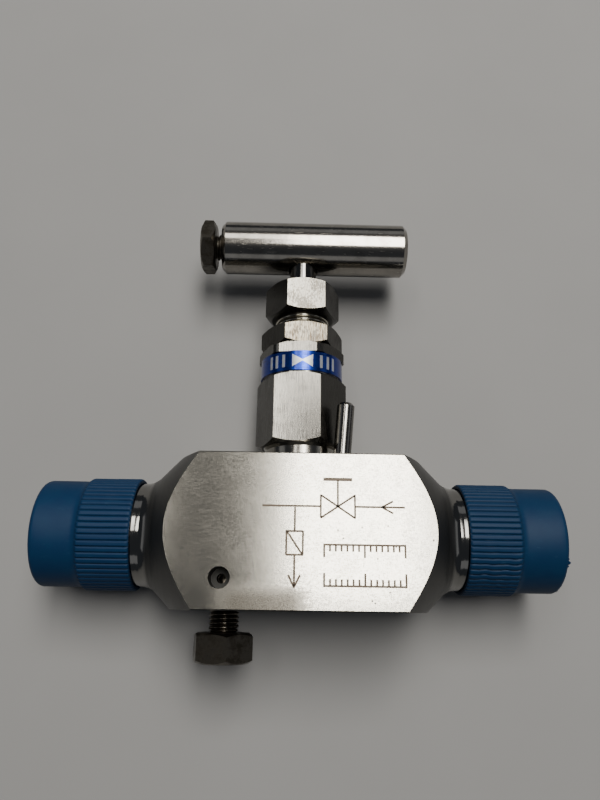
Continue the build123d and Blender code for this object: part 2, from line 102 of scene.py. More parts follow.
class Paint:
    """One material: its Principled shader and the nodes that feed it."""

    def __init__(self, name: str, **constants: float | Colour) -> None:
        """Starts a material.

        Args:
            name: the material's name.
            constants: values for the shader's own sockets, spaces written as underscores.
        """
        self.material = bpy.data.materials.new(name)
        self.material.use_nodes = True
        self.tree = self.material.node_tree
        self.shader = self.tree.nodes["Principled BSDF"]
        for key, value in constants.items():
            self.shader.inputs[key.replace("_", " ")].default_value = self._value(value)

    @staticmethod
    def _value(value: float | Colour) -> float | tuple:
        """A colour gets its fourth number; a number stays."""
        return (*value, 1.0) if isinstance(value, tuple) and len(value) == 3 else value

    def node(self, kind: str, settings: dict | None = None, sockets: dict | None = None) -> bpy.types.Node:
        """Adds any node.

        Args:
            kind: the node's type without its "ShaderNode" prefix.
            settings: its properties, set first.
            sockets: values or Sums for its inputs, by name or number.

        Returns:
            The node.
        """
        made = self.tree.nodes.new("ShaderNode" + kind)
        for key, value in (settings or {}).items():
            setattr(made, key, value)
        for key, value in (sockets or {}).items():
            if isinstance(value, Sum):
                self.tree.links.new(value.socket, made.inputs[key])
            else:
                made.inputs[key].default_value = value
        return made

    def math(self, operation: str, *values: "Sum | float", clamp: bool = False) -> Sum:
        """Adds a Math node and returns its value."""
        made = self.node("Math", {"operation": operation, "use_clamp": clamp}, dict(enumerate(values)))
        return Sum(self, made.outputs[0])

    def absolute(self, value: Sum) -> Sum:
        """The value without its sign."""
        return self.math("ABSOLUTE", value)

    def larger(self, first: "Sum | float", second: "Sum | float") -> Sum:
        """The larger of two values."""
        return self.math("MAXIMUM", first, second)

    def reach(self, across: Sum, up: Sum) -> Sum:
        """The distance from an axis: the root of the sum of two squares."""
        return self.math("SQRT", across * across + up * up)

    def step(self, value: Sum, low: float, high: float) -> Sum:
        """A smooth step from 0 at low to 1 at high; high may be the smaller."""
        made = self.node("MapRange", {"interpolation_type": "SMOOTHSTEP"}, {0: value, 1: low, 2: high})
        return Sum(self, made.outputs[0])

    def place(self) -> tuple[Sum, Sum, Sum, Sum]:
        """Reads where the shaded point is.

        Returns:
            Its place in millimetres, as a vector and as its three numbers.
        """
        coords = Sum(self, self.node("TexCoord").outputs["Object"])
        scaled = self.node("VectorMath", {"operation": "SCALE"}, {0: coords, "Scale": 1 / MM})
        vector = Sum(self, scaled.outputs[0])
        parts = self.node("SeparateXYZ", sockets={0: vector})
        return vector, *(Sum(self, parts.outputs[i]) for i in range(3))

    def stretched(self, vector: Sum, scale: tuple[float, float, float]) -> Sum:
        """The vector with each number multiplied."""
        made = self.node("VectorMath", {"operation": "MULTIPLY"}, {0: vector, 1: scale})
        return Sum(self, made.outputs[0])

    def noise(self, vector: Sum, per_mm: float, detail: float = 3.0, rough: float = 0.55) -> Sum:
        """Smooth noise about 0.5, with this many waves to a millimetre."""
        sockets = {"Vector": vector, "Scale": per_mm, "Detail": detail, "Roughness": rough}
        return Sum(self, self.node("TexNoise", sockets=sockets).outputs[0])

    def specks(self, vector: Sum, per_mm: float, size: float) -> Sum:
        """Small round spots, one to a cell, 1 inside and 0 outside; size is a share of a cell."""
        cells = self.node("TexVoronoi", sockets={"Vector": vector, "Scale": per_mm})
        return self.step(Sum(self, cells.outputs["Distance"]), size, size * 0.5)

    def mix(self, first: "Sum | Colour", second: "Sum | Colour", share: "Sum | float") -> Sum:
        """Blends two colours.

        Args:
            first: the colour at share 0.
            second: the colour at share 1.
            share: how much of the second there is.

        Returns:
            The colour between them.
        """
        first, second = (c if isinstance(c, Sum) else self._value(c) for c in (first, second))
        sockets = {0: share, 6: first, 7: second}
        return Sum(self, self.node("Mix", {"data_type": "RGBA"}, sockets).outputs[2])

    def bump(self, height: Sum) -> None:
        """Feeds the shader's normal from a height in millimetres."""
        made = self.node("Bump", sockets={"Height": height, "Distance": MM})
        self.tree.links.new(made.outputs[0], self.shader.inputs["Normal"])

    def feed(self, socket: str, value: Sum) -> None:
        """Links a value to one of the shader's sockets."""
        self.tree.links.new(value.socket, self.shader.inputs[socket])


# ---------------------------------------------------------------- finishes


@dataclass(frozen=True)
class BarSteel:
    """The bar body: milled flats with grain, stains and pits, turned cones and polished necks.

    Attributes:
        flat, dull: the milled flats, clean and in their dull patches.
        stained: the flats under a stain and in the pits; the stain at the lower edge is partly painted
            shade.
        cone, cone_ring: the turned cones and the darker rings on them.
        neck: the polished necks.
        hollow: painted shade inside the vent port.
        half_width: of the square bar.
        neck_radius, neck_start, neck_fillet: the necks, and the fillet that leads into the cones.
        vent: the vent port's x, y and radius.
        vent_mouth: the height of its mouth.
        foot_middle, foot_reach, foot_top, foot_bottom: the dark place at the face's lower edge, partly a
        stain and partly painted shade.
    """

    flat: Colour = (0.33, 0.316, 0.278)
    dull: Colour = (0.12, 0.116, 0.104)
    stained: Colour = (0.05, 0.045, 0.038)
    cone: Colour = (0.085, 0.085, 0.082)
    cone_ring: Colour = (0.05, 0.05, 0.05)
    neck: Colour = (0.22, 0.217, 0.208)
    hollow: Colour = (0.020, 0.020, 0.019)
    half_width: float = 19.05
    neck_radius: float = 13.6
    neck_start: float = 41.5
    neck_fillet: float = 6.35
    vent: tuple[float, float, float] = (-19.3, -11.6, 2.6)
    vent_mouth: float = 38.1
    foot_middle: float = -9.0
    foot_reach: tuple[float, float] = (15.0, 6.0)
    foot_top: float = -10.5
    foot_bottom: float = -16.5

    def material(self) -> bpy.types.Material:
        """Builds the material; the parts of the bar are told apart by their place.

        Returns:
            The material.
        """
        paint = Paint("bar_steel", Metallic=1.0)
        spot, x, y, z = paint.place()
        up = z - AXIS_Z
        square = paint.larger(paint.absolute(y), paint.absolute(up))
        is_flat = paint.step(square, self.half_width - 0.06, self.half_width - 0.02)
        is_neck = paint.step(paint.reach(y, up), self.neck_radius + 0.9, self.neck_radius + 0.2)

        grain = paint.noise(paint.stretched(spot, (3.6, 1.1, 3.6)), 1.0, 4.0, 0.7)
        cross = paint.noise(paint.stretched(spot, (1.3, 3.6, 1.3)), 1.0, 3.0, 0.6)
        fine = paint.noise(spot, 3.0, 3.0, 0.6)
        cloud = paint.noise(spot, 0.16, 4.0, 0.6)
        rings = paint.noise(paint.stretched(spot, (9.0, 0.02, 0.02)), 1.0, 2.0, 0.5)

        texture = (grain + cross + fine) / 3
        handled = paint.step(cloud + (texture - 0.5) * 1.6, 0.44, 0.66)
        # A dark patch at the face's lower edge, darker towards the bottom: partly a real stain, partly
        # painted shade where the light falls off.
        foot_along = paint.step(paint.absolute(x - self.foot_middle), *self.foot_reach)
        foot = paint.step(y, self.foot_top, self.foot_bottom) * foot_along
        blots = paint.noise(paint.stretched(spot, (0.3, 0.8, 0.5)), 1.0, 4.0, 0.7)
        smudge_and_shade = paint.step(blots + foot * 0.3, 0.48, 0.66)
        stain = foot * smudge_and_shade
        pits = paint.specks(spot, 0.42, 0.11) * paint.step(x, 2.0, 12.0) * paint.step(y, 4.0, -2.0)
        vent_x, vent_y, vent_radius = self.vent
        vent_reach = paint.reach(x - vent_x, y - vent_y)
        vent = paint.step(vent_reach, vent_radius + 0.04, vent_radius - 0.02)
        vent = vent * paint.step(z, self.vent_mouth - 0.02, self.vent_mouth - 0.2)

        steel = paint.mix(self.flat, self.dull, paint.step(texture, 0.42, 0.62) * 0.42 + handled * 0.2)
        # the patch at the lower edge, partly painted shade, and the pits
        steel = paint.mix(steel, self.stained, paint.larger(stain * 0.85, pits * 0.9))
        turned = paint.mix(self.cone, self.neck, is_neck)
        turned = paint.mix(turned, self.cone_ring, (rings - 0.5) * 0.5 * (1 - is_neck))
        colour = paint.mix(turned, steel, is_flat)
        # painted shade inside the vent port, below its mouth
        paint.feed("Base Color", paint.mix(colour, self.hollow, vent * 0.93))

        flat_rough = 0.14 + (texture - 0.5) * 0.28 + handled * 0.02 + stain * 0.12
        turned_rough = 0.38 - is_neck * 0.27 + (rings - 0.5) * 0.10 * (1 - is_neck)
        paint.feed("Roughness", turned_rough + (flat_rough - turned_rough) * is_flat + vent * 0.1)
        # The fillet's last millimetre is shaded as straight: its sag is the square of the distance
        # from the neck's start over twice the fillet's radius.
        bend = paint.math("SUBTRACT", self.neck_start, paint.absolute(x), clamp=True)
        flat_neck = bend * bend * (-0.5 / self.neck_fillet) * is_neck
        relief = is_flat * (texture * 0.004 - pits * 0.03) + (1 - is_flat) * (1 - is_neck) * rings * 0.002
        paint.bump(relief + flat_neck)
        return paint.material


@dataclass(frozen=True)
class Flat:
    """The front flat of a hexagon: its reach along the stem and its turn from straight ahead."""

    low: float
    high: float
    turn: float


@dataclass(frozen=True)
class HexSteel:
    """Hexagon bar steel: the front flat bright, and the other flats painted darker as shade, where they
    turn away from the light.
    """

    name: str
    flats: tuple[Flat, ...]
    bright: Colour = (0.27, 0.26, 0.235)
    dark: Colour = (0.07, 0.066, 0.058)
    # painted shade: the colour of the flats beside the front one, which turn away from the light
    side_shade: Colour = (0.050, 0.049, 0.046)
    brown: Colour = (0.075, 0.052, 0.030)
    rough: float = 0.15
    mottle: float = 0.35
    lay: float = 1.3  # waves of the grain to a millimetre along the stem
    stain: float = 0.0
    half_angle: tuple[float, float] = (29.4, 30.2)  # from the front flat's middle to its edge

    def beside(self, paint: Paint, x: Sum, y: Sum, z: Sum) -> Sum:
        """Finds the flats beside the front one, by the turn round the stem; they get painted shade.

        Args:
            paint: the material.
            x, y, z: the point's place in millimetres.

        Returns:
            1 on every flat but the front one, 0 elsewhere.
        """
        azimuth = paint.math("ARCTAN2", x, z - AXIS_Z)
        near, far = (radians(angle) for angle in self.half_angle)
        total = 0.0
        for flat in self.flats:
            away = paint.absolute(azimuth - radians(flat.turn))
            along = paint.step(y, flat.low - 0.04, flat.low) * paint.step(y, flat.high + 0.04, flat.high)
            total = total + paint.step(away, near, far) * along
        return total

    def material(self) -> bpy.types.Material:
        """Builds the material: fine mottle, turning rings, brown stains along the stem, and painted shade
        on the flats beside the front one.

        Returns:
            The material.
        """
        paint = Paint(self.name, Metallic=1.0)
        spot, x, y, z = paint.place()
        # painted shade on the flats beside the front one
        side_shade = self.beside(paint, x, y, z)
        mottle = paint.noise(paint.stretched(spot, (3.0, self.lay, 3.0)), 1.0, 3.0, 0.6)
        cloud = paint.noise(spot, 0.22, 3.0, 0.5)
        streaks = paint.noise(paint.stretched(spot, (2.6, 0.3, 2.6)), 1.0, 4.0, 0.65)
        rings = paint.noise(paint.stretched(spot, (0.05, 7.0, 0.05)), 1.0, 2.0, 0.5)
        specks = paint.specks(spot, 1.1, 0.11) * paint.step(cloud, 0.50, 0.60)
        patchy = paint.step(mottle + (cloud - 0.5) * 0.9, 0.44, 0.66) * self.mottle
        stain = paint.step(streaks + (mottle - 0.5) * 0.3, 0.36, 0.76) * self.stain
        shade = paint.math("ADD", patchy, specks * 0.6, clamp=True)
        colour = paint.mix(self.bright, self.dark, shade)
        colour = paint.mix(colour, self.brown, stain)
        # the flats beside the front one are mixed towards a darker colour as painted shade
        paint.feed("Base Color", paint.mix(colour, self.side_shade, side_shade * 0.88))
        duller = patchy * 0.12 + stain * 0.14 + side_shade * 0.12
        paint.feed("Roughness", self.rough + duller + (mottle - 0.5) * 0.1)
        paint.bump(mottle * 0.010 + streaks * 0.006 * self.stain + rings * 0.004 - specks * 0.02)
        return paint.material


@dataclass(frozen=True)
class ThreadSteel:
    """A cut thread: bright on its ridges, with painted shade in a dark brown in its grooves.

    Attributes:
        name: the material's name.
        axis: "x" or "y", the way that the thread's axis runs.
        centre: the axis's x where it runs along Y.
        crest: radius of the ridges.
        depth: from the ridges to the grooves.
        ridge, groove: their colours; the groove's colour is painted shade.
    """

    name: str
    axis: str
    centre: float
    crest: float
    depth: float
    ridge: Colour = (0.30, 0.285, 0.25)
    groove: Colour = (0.030, 0.024, 0.016)

    def material(self) -> bpy.types.Material:
        """Builds the material; the distance from the axis tells ridges from grooves.

        Returns:
            The material.
        """
        paint = Paint(self.name, Metallic=1.0)
        spot, x, y, z = paint.place()
        across = y if self.axis == "x" else x - self.centre
        radius = paint.reach(across, z - AXIS_Z)
        fine = paint.noise(spot, 3.0, 3.0, 0.6)
        cloud = paint.noise(spot, 0.6, 3.0, 0.6)
        shallow, low = self.crest - 0.1 * self.depth, self.crest - 0.8 * self.depth
        # painted shade: darker towards the bottoms of the grooves
        deep = paint.step(radius + (fine - 0.5) * 0.2, shallow, low)
        colour = paint.mix(self.ridge, self.groove, deep * 0.9)
        paint.feed("Base Color", paint.mix(colour, self.groove, paint.step(cloud, 0.5, 0.8) * 0.5))
        paint.feed("Roughness", 0.17 + deep * 0.2 + (fine - 0.5) * 0.12)
        paint.bump(fine * 0.006)
        return paint.material


@dataclass(frozen=True)
class PolishedSteel:
    """Ground and polished round bar, with very fine marks round it and a few scratches.

    Attributes:
        name: the material's name.
        colour: of the clean metal.
        rough: its roughness.
        across: waves of the polishing marks to a millimetre, along X, Y and Z.
    """

    name: str
    colour: Colour
    rough: float
    across: tuple[float, float, float]

    def material(self) -> bpy.types.Material:
        """Builds the material.

        Returns:
            The material.
        """
        paint = Paint(self.name, Metallic=1.0)
        spot, _x, _y, _z = paint.place()
        lines = paint.noise(paint.stretched(spot, self.across), 1.0, 3.0, 0.6)
        cloud = paint.noise(spot, 0.22, 4.0, 0.6)
        scratch = paint.noise(paint.stretched(spot, (0.25, 3.5, 3.5)), 1.0, 2.0, 0.5)
        scratch = paint.step(scratch, 0.66, 0.70)
        dull = tuple(0.62 * c for c in self.colour)
        paint.feed("Base Color", paint.mix(self.colour, dull, paint.step(cloud, 0.4, 0.7) * 0.6))
        paint.feed("Roughness", self.rough + (lines - 0.5) * 0.08 + scratch * 0.15 + cloud * 0.05)
        paint.bump(lines * 0.0015 - scratch * 0.001)
        return paint.material


@dataclass(frozen=True)
class DarkSteel:
    """Lightly oxidised bolt steel: brown in the hollows and brighter where it is handled."""

    bare: Colour = (0.115, 0.104, 0.086)
    oxide: Colour = (0.030, 0.026, 0.020)

    def material(self) -> bpy.types.Material:
        """Builds the material from clouds of oxide over fine grain.

        Returns:
            The material.
        """
        paint = Paint("dark_steel", Metallic=1.0)
        spot, _x, _y, _z = paint.place()
        cloud = paint.noise(spot, 0.35, 5.0, 0.65)
        fine = paint.noise(spot, 4.0, 3.0, 0.6)
        film = paint.step(cloud + (fine - 0.5) * 0.3, 0.40, 0.62)
        paint.feed("Base Color", paint.mix(self.bare, self.oxide, film * 0.85))
        paint.feed("Roughness", 0.30 + film * 0.14 + (fine - 0.5) * 0.15)
        paint.bump(fine * 0.004 + cloud * 0.003)
        return paint.material


@dataclass(frozen=True)
class BandFoil:
    """Glossy metallic blue foil of the label band."""

    blue: Colour = (0.008, 0.030, 0.26)
    deep: Colour = (0.003, 0.012, 0.11)

    def material(self) -> bpy.types.Material:
        """Builds the material: a metal under clear gloss with faint rubs.

        Returns:
            The material.
        """
        paint = Paint("blue_band", Metallic=0.9, Coat_Weight=0.25, Coat_Roughness=0.08)
        spot, _x, _y, _z = paint.place()
        rub = paint.noise(paint.stretched(spot, (0.6, 2.4, 0.6)), 1.0, 4.0, 0.6)
        fine = paint.noise(spot, 5.0, 2.0, 0.5)
        paint.feed("Base Color", paint.mix(self.blue, self.deep, paint.step(rub, 0.42, 0.7)))
        paint.feed("Roughness", 0.20 + rub * 0.1 + (fine - 0.5) * 0.06)
        paint.bump(fine * 0.001)
        return paint.material


@dataclass(frozen=True)
class CapPlastic:
    """Moulded plastic of the end caps: satin blue with dusty clouds, painted shade in the grooves, and
    scuffed on the ribs.
    """

    name: str
    blue: Colour
    dusty: Colour
    scuffed: Colour = (0.04, 0.09, 0.14)
    over_ribs: float = 14.7  # radius over the ribs
    grip_end: tuple[float, float] = (56.6, 55.4)  # where the grooves fade out along the axis

    def material(self) -> bpy.types.Material:
        """Builds the material; the distance from the flow axis tells grooves from ribs.

        Returns:
            The material.
        """
        paint = Paint(self.name, Specular_IOR_Level=0.18)
        spot, x, y, z = paint.place()
        radius = paint.reach(y, z - AXIS_Z)
        ribbed = paint.step(paint.absolute(x), *self.grip_end)
        # the grooves between the ribs, where shade is painted
        groove = paint.step(radius, self.over_ribs - 0.08, self.over_ribs - 0.40) * ribbed
        cloud = paint.noise(spot, 0.25, 4.0, 0.6)
        fine = paint.noise(spot, 5.0, 3.0, 0.6)
        scuff = paint.noise(paint.stretched(spot, (0.5, 1.8, 1.8)), 1.0, 4.0, 0.7)
        scuff = paint.step(scuff, 0.60, 0.74)
        colour = paint.mix(self.blue, self.dusty, paint.step(cloud, 0.35, 0.75) * 0.45)
        # painted shade: the grooves take a darker copy of the blue
        colour = paint.mix(colour, tuple(0.35 * c for c in self.blue), groove * 0.6)
        colour = paint.mix(colour, self.scuffed, scuff * 0.22)
        paint.feed("Base Color", colour)
        paint.feed("Roughness", 0.54 + (fine - 0.5) * 0.18 + scuff * 0.14 + groove * 0.1)
        paint.bump(fine * 0.007 + cloud * 0.01)
        return paint.material


@dataclass(frozen=True)
class PlainFinish:
    """Any quieter finish: two colours in clouds, with fine grain."""

    name: str
    light: Colour
    dark: Colour
    rough: float
    metallic: float = 0.0
    grain_per_mm: float = 4.0
    depth: float = 0.01

    def material(self) -> bpy.types.Material:
        """Builds the material.

        Returns:
            The material.
        """
        paint = Paint(self.name, Metallic=self.metallic)
        spot, _x, _y, _z = paint.place()
        cloud = paint.noise(spot, 0.4, 4.0, 0.6)
        fine = paint.noise(spot, self.grain_per_mm, 3.0, 0.6)
        paint.feed("Base Color", paint.mix(self.light, self.dark, paint.step(cloud + fine * 0.3, 0.4, 0.9)))
        paint.feed("Roughness", self.rough + (fine - 0.5) * 0.15)
        paint.bump(fine * (self.depth / 2))
        return paint.material


class Finish(Enum):
    """Every finish on the valve."""

    BAR = BarSteel()
    BONNET = HexSteel(
        name="turned_steel",
        flats=(Flat(23.9, 43.6, -6.9), Flat(49.4, 52.7, -6.9)),
        mottle=0.4,
        lay=0.25,
    )
    NUT = HexSteel(
        name="nut_steel",
        flats=(Flat(52.5, 59.6, 5.0),),
        bright=(0.115, 0.106, 0.086),
        rough=0.21,
        mottle=0.9,
        lay=0.6,
        stain=0.8,
    )
    GLAND = HexSteel(
        name="gland_steel",
        flats=(Flat(63.0, 73.5, 5.4),),
        bright=(0.14, 0.136, 0.12),
        rough=0.17,
        mottle=0.8,
        stain=0.3,
    )
    PIPE_THREAD = ThreadSteel("pipe_thread_steel", "x", 0.0, 13.4, 1.3)
    GLAND_THREAD = ThreadSteel("gland_thread_steel", "y", 0.0, 7.9, 0.74, (0.45, 0.43, 0.37))
    BLEED_THREAD = ThreadSteel("bleed_thread_steel", "y", -19.3, 3.93, 0.6, (0.14, 0.125, 0.105))
    HANDLE = PolishedSteel("bright_steel", (0.29, 0.275, 0.25), 0.12, (9.0, 0.15, 0.15))
    ROD = PolishedSteel("rod_steel", (0.17, 0.166, 0.158), 0.07, (0.15, 9.0, 0.15))
    PIN = PolishedSteel("pin_steel", (0.185, 0.18, 0.17), 0.14, (0.15, 9.0, 0.15))
    DARK = DarkSteel()
    BAND = BandFoil()
    MARK = PlainFinish("pale_mark", (0.42, 0.44, 0.47), (0.30, 0.32, 0.35), 0.34, 0.65)
    LASER = PlainFinish("laser_mark", (0.050, 0.034, 0.021), (0.085, 0.062, 0.04), 0.5, 0.4)
    INLET_CAP = CapPlastic("blue_cap", (0.0006, 0.017, 0.052), (0.0018, 0.024, 0.060))
    OUTLET_CAP = CapPlastic("blue_cap_left", (0.0005, 0.0175, 0.056), (0.0016, 0.025, 0.064))
    SEAT = PlainFinish("seat_alloy", (0.50, 0.48, 0.44), (0.36, 0.345, 0.32), 0.2, 1.0, 6.0, 0.004)
    PACKING = PlainFinish("packing", (0.82, 0.82, 0.79), (0.68, 0.68, 0.64), 0.45)
    BUSHING = PlainFinish("bushing", (0.30, 0.28, 0.25), (0.20, 0.19, 0.17), 0.5)
    GASKET = PlainFinish("gasket", (0.55, 0.55, 0.54), (0.40, 0.40, 0.40), 0.4, 1.0)
    RUBBER = PlainFinish("wiper_rubber", (0.022, 0.022, 0.022), (0.012, 0.012, 0.012), 0.6)


class Finishes:
    """Makes each finish's material once."""

    def __init__(self) -> None:
        """Starts with no material made."""
        self._made: dict[Finish, bpy.types.Material] = {}

    def get(self, finish: Finish) -> bpy.types.Material:
        """Looks a finish's material up, and makes it the first time.

        Args:
            finish: which finish.

        Returns:
            Its material.
        """
        if finish not in self._made:
            self._made[finish] = finish.value.material()
        return self._made[finish]


# ---------------------------------------------------------------- meshes from arrays


def wrap_faces(rows: int, columns: int, closed: bool) -> Array:
    """Lists the faces of a grid whose columns join up.

    The face at row i and column j has the corners (i, j), (i, j+1), (i+1, j+1) and (i+1, j).

    Args:
        rows, columns: the grid's size.
        closed: whether the last row joins up with the first too.

    Returns:
        Four corner numbers to a face.
    """
    low = np.arange(rows if closed else rows - 1)[:, None]
    left = np.arange(columns)[None, :]
    high, right = (low + 1) % rows, (left + 1) % columns
    corners = (low * columns + left, low * columns + right, high * columns + right, high * columns + left)
    return np.stack(corners, axis=-1).reshape(-1, 4)


def signed_volume(points: Array, faces: list[Array]) -> float:
    """Tells which way a closed mesh faces.

    The volume is the sum of a . (b x c) over the triangles that fan out from each first corner.

    Args:
        points: an array of places.
        faces: arrays of corner numbers, one block for each number of corners.

    Returns:
        Six times the volume that the faces enclose, positive if they face outwards.
    """
    total = 0.0
    for block in faces:
        first = points[block[:, 0]]
        for k in range(1, block.shape[1] - 1):
            second, third = points[block[:, k]], points[block[:, k + 1]]
            total += float(np.einsum("ij,ij->", first, np.cross(second, third)))
    return total


def add_mesh(name: str, points: Array, faces: list[Array], smooth_angle: float = 35.0) -> bpy.types.Object:
    """Makes a mesh object from points in millimetres and blocks of faces.

    Args:
        name: the object's name.
        points: an array of places, one to a row.
        faces: arrays of corner numbers, one block for each number of corners.
        smooth_angle: edges sharper than this, in degrees, stay sharp.

    Returns:
        The object, with its faces turned outwards.
    """
    if signed_volume(points, faces) < 0:
        faces = [block[:, ::-1] for block in faces]
    mesh = bpy.data.meshes.new(name)
    corners = np.concatenate([block.ravel() for block in faces]).astype(np.int32)
    counts = np.concatenate([np.full(len(block), block.shape[1]) for block in faces])
    starts = np.concatenate([[0], np.cumsum(counts)[:-1]]).astype(np.int32)
    mesh.vertices.add(len(points))
    mesh.vertices.foreach_set("co", (points * MM).astype(np.float32).ravel())
    mesh.loops.add(len(corners))
    mesh.loops.foreach_set("vertex_index", corners)
    mesh.polygons.add(len(counts))
    mesh.polygons.foreach_set("loop_start", starts)
    mesh.update(calc_edges=True)
    mesh.validate()
    mesh.shade_smooth()
    mesh.set_sharp_from_angle(angle=radians(smooth_angle))
    made = bpy.data.objects.new(name, mesh)
    bpy.context.scene.collection.objects.link(made)
    return made


def closed_skin(
    name: str, grid: Array, poles: tuple[Array, Array] | None, angle: float = 35.0
) -> bpy.types.Object:
    """Makes a closed skin from a grid of points whose columns go round an axis.

    Args:
        name: the object's name.
        grid: places, as rows by columns by three.
        poles: the points that close the first and last rows, or None if the rows join up.
        angle: edges sharper than this, in degrees, stay sharp.

    Returns:
        The object.
    """
    rows, columns = grid.shape[:2]
    points = grid.reshape(-1, 3)
    faces = [wrap_faces(rows, columns, poles is None)]
    if poles is not None:
        first, last = len(points), len(points) + 1
        points = np.concatenate([points, np.array(poles)])
        left = np.arange(columns)
        right = (left + 1) % columns
        top = (rows - 1) * columns
        foot_fan = np.stack([np.full(columns, first), right, left], axis=-1)
        head_fan = np.stack([np.full(columns, last), top + left, top + right], axis=-1)
        faces.append(np.concatenate([foot_fan, head_fan]))
    return add_mesh(name, points, faces, angle)


def smooth_step(value: Array, low: float, high: float) -> Array:
    """0 below low and 1 above high, with a smooth rise between; high may be the smaller."""
    share = np.clip((value - low) / (high - low), 0.0, 1.0)
    return share * share * (3 - 2 * share)


def bell(turn: Array, middle: float, width: float) -> Array:
    """exp(-((turn - middle) / width) ** 2), with middle and width in degrees."""
    return np.exp(-(((turn - radians(middle)) / radians(width)) ** 2))


def ripple(turn: Array, along: Array, seed: int, count: int = 6, fastest: float = 0.5) -> Array:
    """A gentle unevenness: a few sine waves round and along an axis.

    It is 1.6 / count times the sum of sin(waves * turn + pace * along + phase) over count draws.

    Args:
        turn: the turn round the axis.
        along: the place along it.
        seed: picks the waves.
        count: how many waves there are.
        fastest: the quickest pace along the axis, in radians to a millimetre.

    Returns:
        Heights between about -1 and 1.
    """
    draw = np.random.default_rng(seed)
    total = np.zeros(np.broadcast(turn, along).shape)
    for _ in range(count):
        waves, pace = draw.integers(1, 9), draw.uniform(-fastest, fastest)
        phase = draw.uniform(0, 2 * pi)
        total += np.sin(waves * turn + pace * along + phase) / count
    return total * 1.6


# ---------------------------------------------------------------- screw threads


@dataclass
class ScrewThread:
    """A right-hand thread on a cylinder or cone, as one closed ring of metal.

    Attributes:
        name: the piece's name.
        body: the moving body that it rides on.
        slot: the record's material slot; not used.
        finish: its finish.
        centre: a point on the axis, from which start and end are measured.
        axis: the direction of the axis.
        start: where the thread starts along the axis.
        end: where it ends.
        root: radius of the groove's bottom, at start and end.
        crest: radius of the ridge, at start and end.
        pitch: from ridge to ridge.
        inside: radius of the hidden inner wall.
        fade: length of the run-out at start and end.
        rows_per_pitch: rows of faces from ridge to ridge.
        columns: faces round the axis.
        flat_share: how much of the pitch is the groove's flat bottom.
    """

    name: str
    body: str
    slot: str
    finish: Finish
    centre: tuple[float, float, float]
    axis: tuple[float, float, float]
    start: float
    end: float
    root: tuple[float, float]
    crest: tuple[float, float]
    pitch: float
    inside: float
    fade: tuple[float, float]
    rows_per_pitch: int = 20
    columns: int = 144
    flat_share: float = 0.08

    def grid(self) -> Array:
        """Works out the thread's skin.

        The radius at a height and a turn is the root's radius, plus the ridge's height times a wave
        that rises from a narrow flat groove to a rounded ridge and back as height / pitch - turn
        goes through one, and times the run-outs. The inner wall closes the ring.

        Returns:
            Places, as rows by columns by three.
        """
        count = int((self.end - self.start) / self.pitch * self.rows_per_pitch) + 1
        along = np.linspace(self.start, self.end, count)[:, None]
        turn = np.linspace(0, 2 * pi, self.columns, endpoint=False)[None, :]
        share = (along - self.start) / (self.end - self.start)
        root = self.root[0] + (self.root[1] - self.root[0]) * share
        crest = self.crest[0] + (self.crest[1] - self.crest[0]) * share
        wave = np.abs(2 * np.mod(along / self.pitch - turn / (2 * pi), 1.0) - 1)
        flank = np.sin(pi / 2 * np.clip((wave - self.flat_share) / (1 - self.flat_share), 0.0, 1.0))
        low = smooth_step(along, self.start, self.start + self.fade[0])
        high = smooth_step(along, self.end, self.end - self.fade[1])
        radius = root + (crest - root) * flank * low * high
        inner = np.full((2, self.columns), self.inside)
        radius = np.concatenate([radius, inner])
        height = np.concatenate([along, [[self.end], [self.start]]])
        return round_axis(self.centre, self.axis, radius, height, turn)

    def build(self, finishes: Finishes) -> bpy.types.Object:
        """Makes the thread's object.

        Args:
            finishes: where its material comes from.

        Returns:
            The object, dressed and riding.
        """
        made = closed_skin(self.name, self.grid(), None, 50.0)
        made.data.materials.append(finishes.get(self.finish))
        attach(made, self.body)
        log.info("made %s", made.name)
        return made


def round_axis(centre: tuple, axis: tuple, radius: Array, along: Array, turn: Array) -> Array:
    """Puts points on circles about a level axis, where turn 0 is upwards.

    Each is centre + along * axis + radius * (cos turn * up + sin turn * (axis x up)).

    Args:
        centre: a point on the axis.
        axis: its direction, one long.
        radius, along, turn: arrays that fit each other.

    Returns:
        The points, with a last dimension of three.
    """
    main, up = Vector(axis), Vector((0.0, 0.0, 1.0))
    beside = np.array(main.cross(up))
    out = radius[..., None] * (np.cos(turn)[..., None] * np.array(up) + np.sin(turn)[..., None] * beside)
    return np.array(centre) + along[..., None] * np.array(main) + out


# ---------------------------------------------------------------- marks on the metal


@dataclass
class Stroke:
    """One raised mark: a path on a surface, with its width at each point."""

    path: list[tuple[float, float]]
    width: float | list[float]

    def outline(self, spacing: float = 0.35) -> tuple[Array, Array]:
        """Resamples the path and works out the stroke's two long edges.

        Each edge is the path moved half the width to one side, along the path's own normal.

        Args:
            spacing: from point to point along the path.

        Returns:
            The left and the right edge.
        """
        path = np.array(self.path, float)
        steps = np.linalg.norm(np.diff(path, axis=0), axis=1)
        length = np.concatenate([[0], np.cumsum(steps)])
        count = max(2, int(length[-1] / spacing) + 1)
        at = np.union1d(np.linspace(0, length[-1], count), length)
        points = np.stack([np.interp(at, length, path[:, k]) for k in (0, 1)], axis=-1)
        widths = np.interp(at, length, np.broadcast_to(np.array(self.width, float), len(path)))
        ahead = np.gradient(points, axis=0)
        ahead /= np.linalg.norm(ahead, axis=1)[:, None]
        side = np.stack([-ahead[:, 1], ahead[:, 0]], axis=-1) * widths[:, None] / 2
        return points + side, points - side


